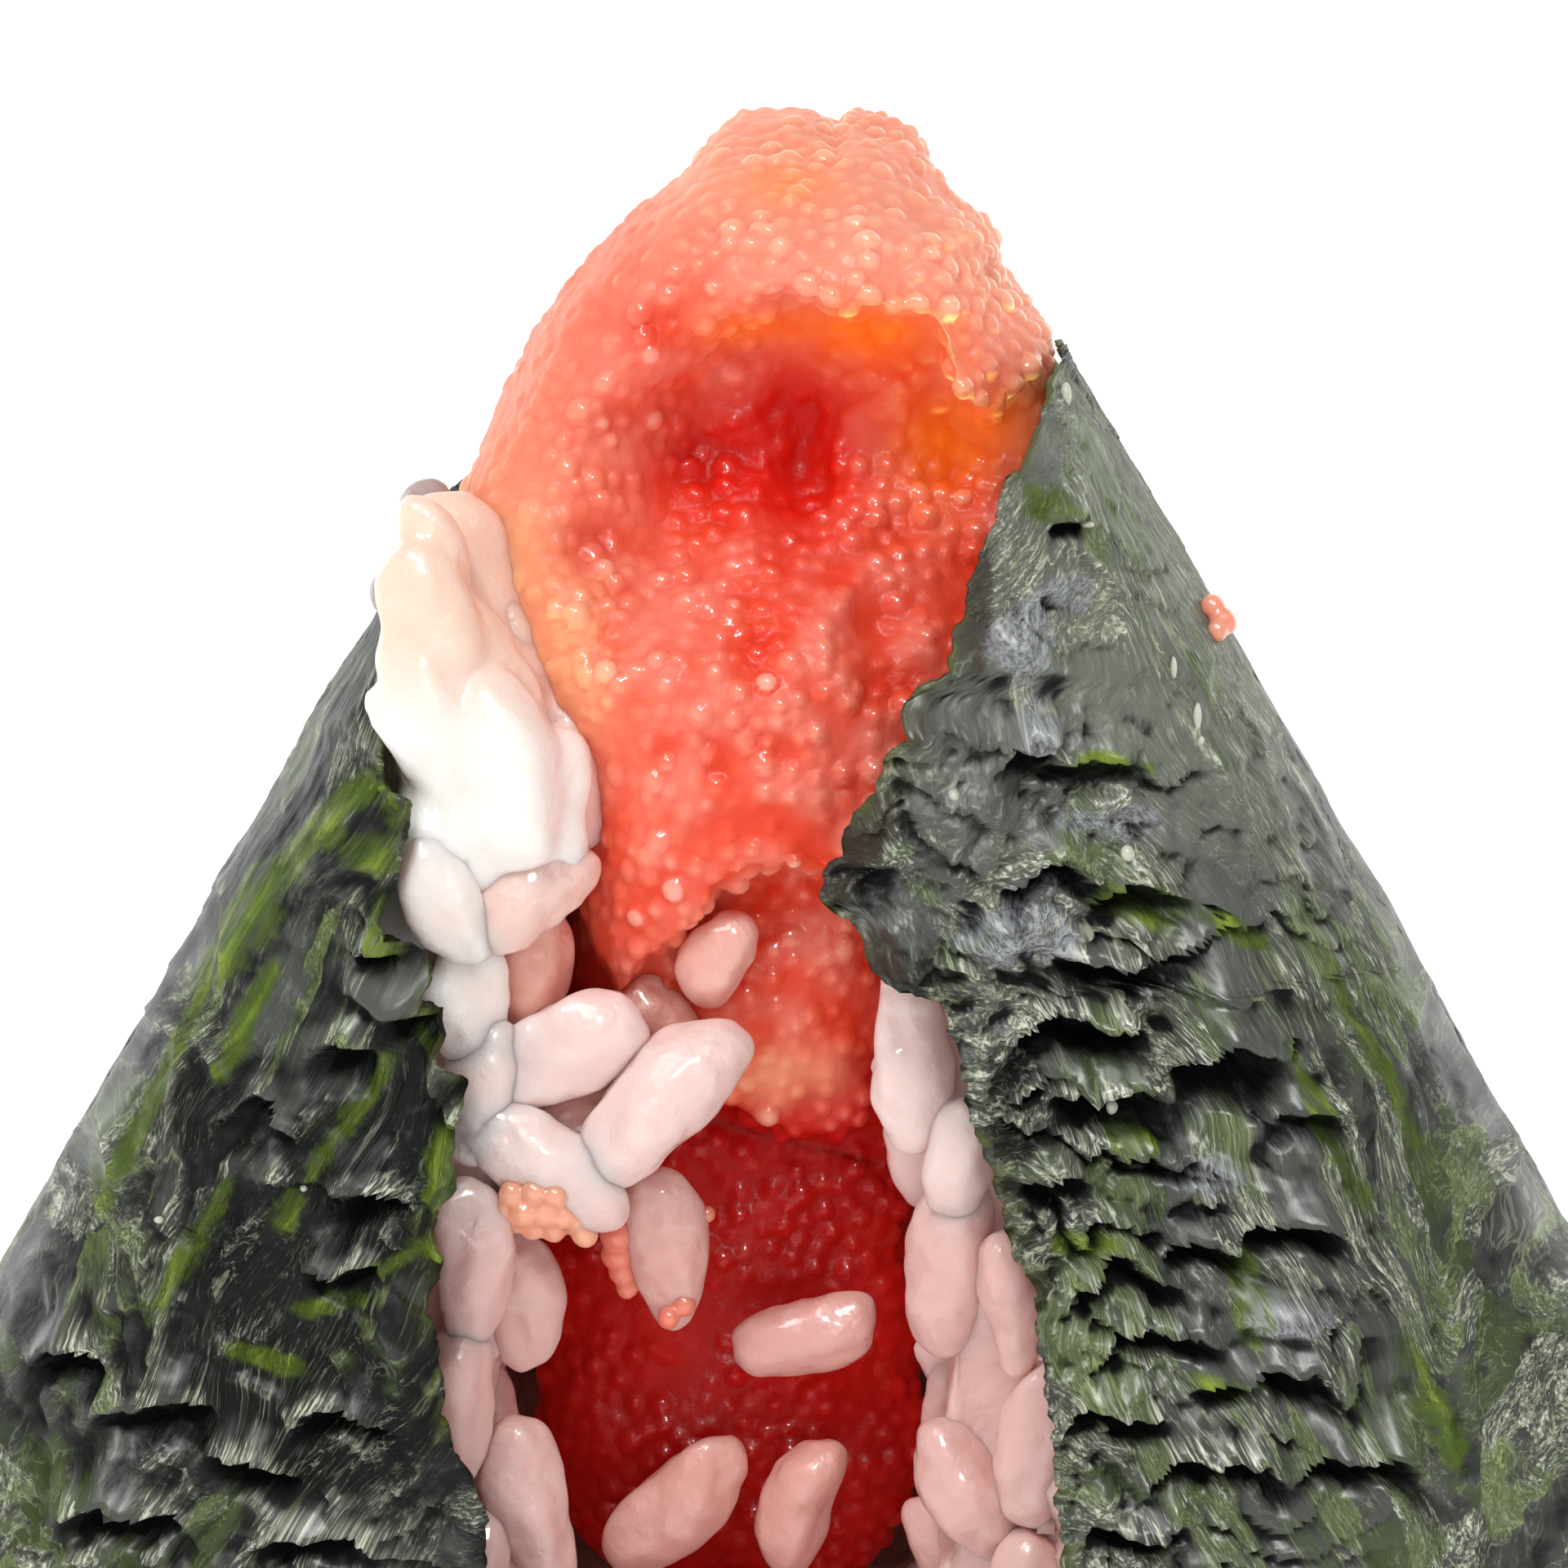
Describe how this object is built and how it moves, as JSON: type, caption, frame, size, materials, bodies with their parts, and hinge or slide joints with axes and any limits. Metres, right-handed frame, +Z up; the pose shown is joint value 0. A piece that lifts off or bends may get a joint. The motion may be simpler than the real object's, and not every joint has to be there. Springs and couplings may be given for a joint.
{
  "type": "rice ball with pollock roe",
  "caption": "Triangular rice ball in a seaweed wrap, torn open down the front and bitten at the tip over a filling of raw pollock roe.",
  "frame": {"origin": "middle of the base, on the surface that the rice ball stands on", "axes": "+X across the triangle, along its longest side; +Y through its thickness, away from the open front; +Z up"},
  "size_m": [0.0733, 0.0367, 0.07],
  "materials": {
    "seaweed": "damp dried seaweed, dark green, wrinkled, half gloss",
    "rice": "cooked short-grain rice, moist and slightly see-through",
    "roe": "raw pollock roe, wet, fine eggs, translucent"
  },
  "bodies": {
    "root": {"seaweed_sheet": "seaweed", "rice": "rice", "pollock_roe": "roe", "loose_grain_1": "rice", "loose_grain_2": "rice", "loose_grain_3": "rice", "loose_grain_4": "rice"}
  },
  "joints": []
}
